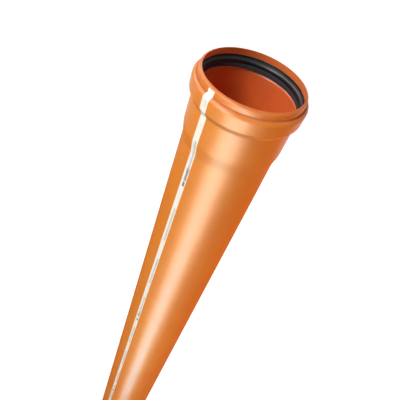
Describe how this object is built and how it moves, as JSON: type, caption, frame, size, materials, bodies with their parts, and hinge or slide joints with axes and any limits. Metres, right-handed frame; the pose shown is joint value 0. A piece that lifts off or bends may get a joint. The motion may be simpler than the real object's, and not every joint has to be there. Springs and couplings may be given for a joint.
{
  "type": "pvc drain pipe",
  "caption": "Straight orange PVC-U sewer pipe standing on its chamfered spigot end, with a belled ring-seal socket and a black lip seal at the top.",
  "frame": {"origin": "centre of the spigot's end face, on the ground", "axes": "+Z along the pipe's axis, up and out of the socket; the white marking band runs along the side at about 235 degrees from +X, as seen from above, counted from +X towards +Y"},
  "size_m": [0.36, 0.36, 3.198],
  "materials": {
    "pvc": "orange-brown PVC-U, smooth from the die, with a soft sheen",
    "seal": "black moulded rubber, slightly shiny",
    "marking_ink": "white printing ink"
  },
  "bodies": {
    "root": {"pipe": "pvc", "seal_ring": "seal"}
  },
  "joints": []
}
